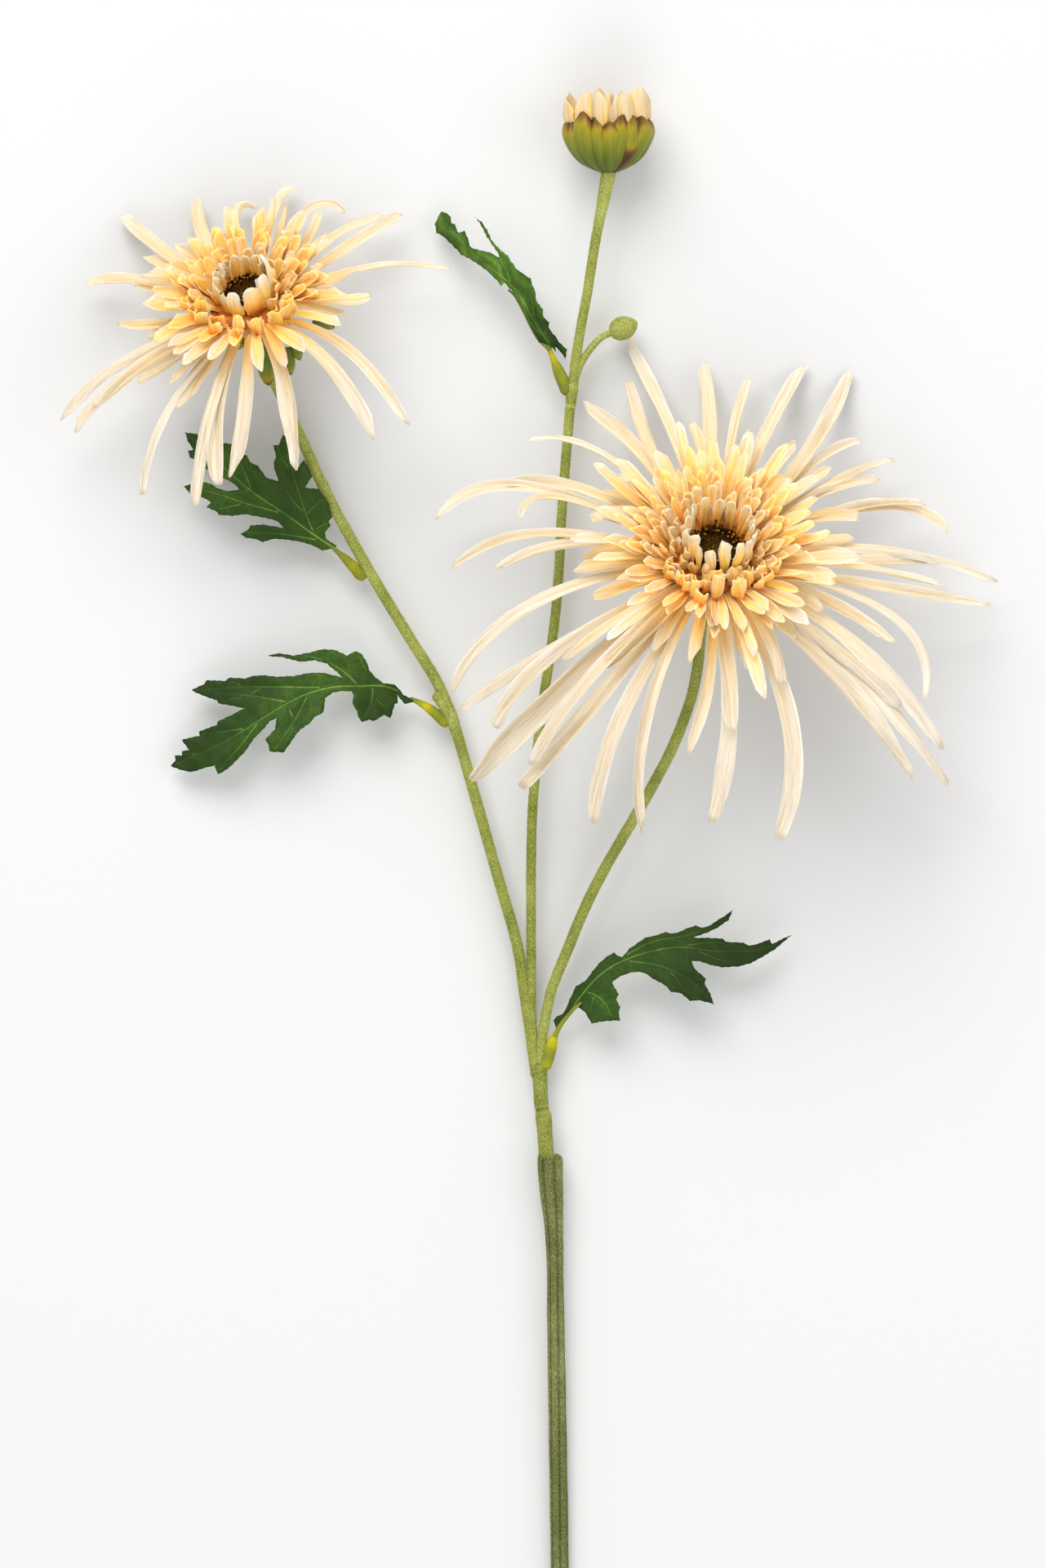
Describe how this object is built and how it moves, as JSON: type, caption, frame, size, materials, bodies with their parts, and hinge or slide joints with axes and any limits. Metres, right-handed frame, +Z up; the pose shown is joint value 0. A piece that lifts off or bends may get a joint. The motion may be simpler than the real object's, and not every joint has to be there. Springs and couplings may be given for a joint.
{
  "type": "spider chrysanthemum",
  "caption": "Cut spray of spider chrysanthemum with thin cream ray petals, golden florets round dark discs, a bud, lobed leaves and a branched stem, lying flat.",
  "frame": {"origin": "middle of the bounding box, on the surface that the spray lies on", "axes": "+Y along the surface from the cut foot of the stem towards the bud, +Z up from the surface, +X to the right seen from above with the bud at the top"},
  "size_m": [0.269, 0.4908, 0.0794],
  "materials": {
    "ray_petal": "cream petal cloth, paler at the tips",
    "floret": "golden petal cloth, orange at the roots",
    "disc": "dark brown flock, olive in the middle",
    "calyx": "green, brown at the tips",
    "branch": "olive green, flocked",
    "lower_stem": "darker olive green, ribbed and flocked",
    "leaf": "dark green with lighter veins",
    "collar": "yellow-green"
  },
  "bodies": {
    "root": {"right_rays": "ray_petal", "right_florets": "floret", "right_disc": "disc", "right_calyx": "calyx", "left_rays": "ray_petal", "left_florets": "floret", "left_disc": "disc", "left_calyx": "calyx", "lower_stem": "lower_stem", "branches": "branch", "side_bud": "calyx", "bud_petals": "ray_petal", "bud_bracts": "calyx", "leaf_left_low": "leaf", "leaf_left_high": "leaf", "leaf_top": "leaf", "leaf_right": "leaf", "collar_left_low": "collar", "collar_left_high": "collar", "collar_top": "collar", "collar_right": "collar"}
  },
  "joints": []
}
